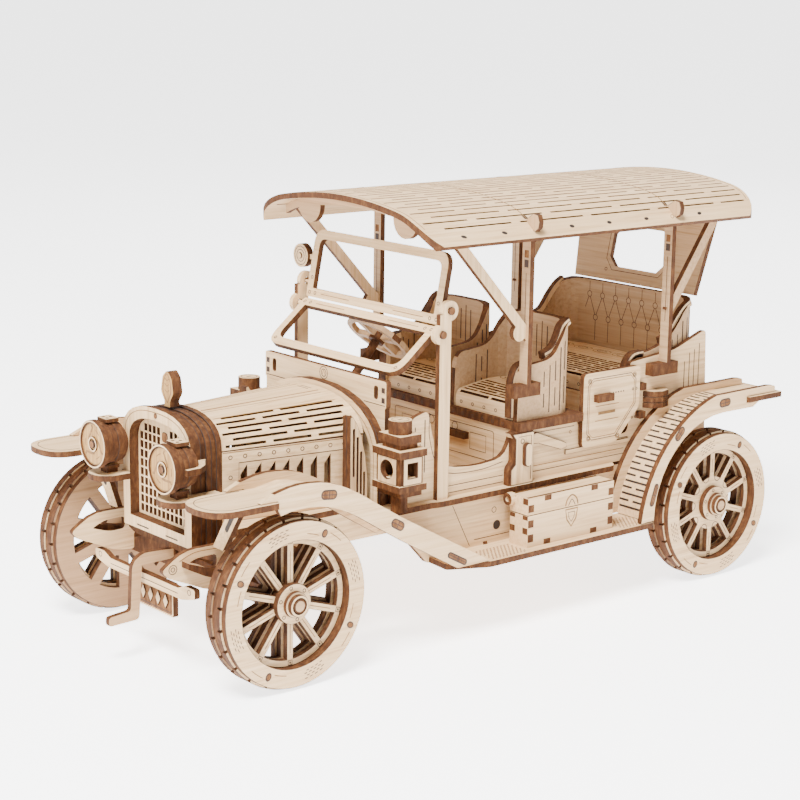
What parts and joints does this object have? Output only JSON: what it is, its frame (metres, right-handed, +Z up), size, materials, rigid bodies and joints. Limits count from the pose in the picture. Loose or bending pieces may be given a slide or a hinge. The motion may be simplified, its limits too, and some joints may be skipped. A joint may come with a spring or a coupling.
{
  "type": "wooden 3d jigsaw model",
  "caption": "Laser-cut plywood vintage touring car model: spoked wheels, curved fenders, louvred bonnet, folding windscreen, bucket seats, toolbox and arched roof.",
  "frame": {"origin": "centre of the whole car's box, on the ground under the tyres", "axes": "+X towards the front of the car, +Y its left side, +Z up"},
  "size_m": [0.2598, 0.1148, 0.1456],
  "materials": {
    "birch_ply": "bare sanded birch plywood with scorched laser-cut edges",
    "tan_ply": "bare birch plywood, darker face, with scorched laser-cut edges"
  },
  "bodies": {
    "car": {"floor_sheet": "birch_ply", "front_axle": "tan_ply", "rear_axle": "tan_ply", "front_cross_beam": "birch_ply", "front_apron": "birch_ply", "radiator_shell": "birch_ply", "radiator_grille": "birch_ply", "radiator_finial": "tan_ply", "hood": "birch_ply", "cowl_hoop": "birch_ply", "cowl_board": "birch_ply", "front_seat_box": "birch_ply", "rear_seat_base": "birch_ply", "rear_seat_shell": "tan_ply", "rear_seat_cushion": "birch_ply", "roof_skin": "birch_ply", "roof_rib_front": "tan_ply", "roof_frame_middle": "tan_ply", "roof_frame_rear": "tan_ply", "rear_wall": "tan_ply", "toolbox_body": "birch_ply", "frame_rail_left": "birch_ply", "frame_rail_right": "birch_ply", "running_board_left": "birch_ply", "running_board_right": "birch_ply", "front_fender_plate_left": "birch_ply", "front_fender_plate_right": "birch_ply", "front_fender_skin_left": "birch_ply", "front_fender_skin_right": "birch_ply", "rear_fender_plate_left": "birch_ply", "rear_fender_plate_right": "birch_ply", "rear_fender_skin_left": "birch_ply", "rear_fender_skin_right": "birch_ply", "body_side_left": "birch_ply", "body_side_right": "birch_ply", "rear_quarter_left": "birch_ply", "rear_quarter_right": "birch_ply", "front_seat_shell_left": "tan_ply", "front_seat_shell_right": "tan_ply", "front_seat_cushion_left": "birch_ply", "front_seat_cushion_right": "birch_ply", "windscreen_post_left": "birch_ply", "windscreen_post_right": "birch_ply", "front_strut_left": "birch_ply", "front_strut_right": "birch_ply", "headlight_left": "birch_ply", "headlight_right": "birch_ply", "lantern_left": "birch_ply", "lantern_right": "birch_ply"},
    "steering": {"steering_wheel": "tan_ply"},
    "crank": {"starting_crank": "tan_ply"},
    "windscreen_top": {"windscreen_upper": "birch_ply"},
    "windscreen_bottom": {"windscreen_lower": "birch_ply"},
    "toolbox_cover": {"toolbox_lid": "birch_ply"},
    "door_left": {"rear_door_left": "birch_ply"},
    "door_right": {"rear_door_right": "birch_ply"},
    "wheel_front_left_spin_body": {"wheel_front_left": "birch_ply"},
    "wheel_front_right_spin_body": {"wheel_front_right": "birch_ply"},
    "wheel_rear_left_spin_body": {"wheel_rear_left": "birch_ply"},
    "wheel_rear_right_spin_body": {"wheel_rear_right": "birch_ply"}
  },
  "joints": [
    {"name": "wheel_front_left_spin", "type": "hinge", "parent": "car", "child": "wheel_front_left_spin_body", "pos_m": [0.0958, 0.05, 0.0276], "axis": [0, 1, 0], "continuous": true},
    {"name": "wheel_front_right_spin", "type": "hinge", "parent": "car", "child": "wheel_front_right_spin_body", "pos_m": [0.0958, -0.05, 0.0276], "axis": [0, 1, 0], "continuous": true},
    {"name": "wheel_rear_left_spin", "type": "hinge", "parent": "car", "child": "wheel_rear_left_spin_body", "pos_m": [-0.0984, 0.05, 0.0276], "axis": [0, 1, 0], "continuous": true},
    {"name": "wheel_rear_right_spin", "type": "hinge", "parent": "car", "child": "wheel_rear_right_spin_body", "pos_m": [-0.0984, -0.05, 0.0276], "axis": [0, 1, 0], "continuous": true},
    {"name": "steering_turn", "type": "hinge", "parent": "car", "child": "steering", "pos_m": [0.0042, -0.0185, 0.0905], "axis": [-0.6428, 0, 0.766], "continuous": true},
    {"name": "crank_turn", "type": "hinge", "parent": "car", "child": "crank", "pos_m": [0.1037, 0, 0.0328], "axis": [1, 0, 0], "continuous": true},
    {"name": "windscreen_top_fold", "type": "hinge", "parent": "car", "child": "windscreen_top", "pos_m": [0.0213, 0, 0.11], "axis": [0, -1, 0], "range_deg": [0, 75]},
    {"name": "windscreen_bottom_fold", "type": "hinge", "parent": "car", "child": "windscreen_bottom", "pos_m": [0.0247, 0, 0.1023], "axis": [0, -1, 0], "range_deg": [0, 35]},
    {"name": "toolbox_lid_hinge", "type": "hinge", "parent": "car", "child": "toolbox_cover", "pos_m": [-0.0253, 0.0442, 0.0429], "axis": [1, 0, 0], "range_deg": [0, 95]},
    {"name": "rear_door_left_hinge", "type": "hinge", "parent": "car", "child": "door_left", "pos_m": [-0.0706, 0.0406, 0.068], "axis": [0, 0, 1], "range_deg": [0, 60]},
    {"name": "rear_door_right_hinge", "type": "hinge", "parent": "car", "child": "door_right", "pos_m": [-0.0706, -0.0406, 0.068], "axis": [0, 0, -1], "range_deg": [0, 60]}
  ]
}
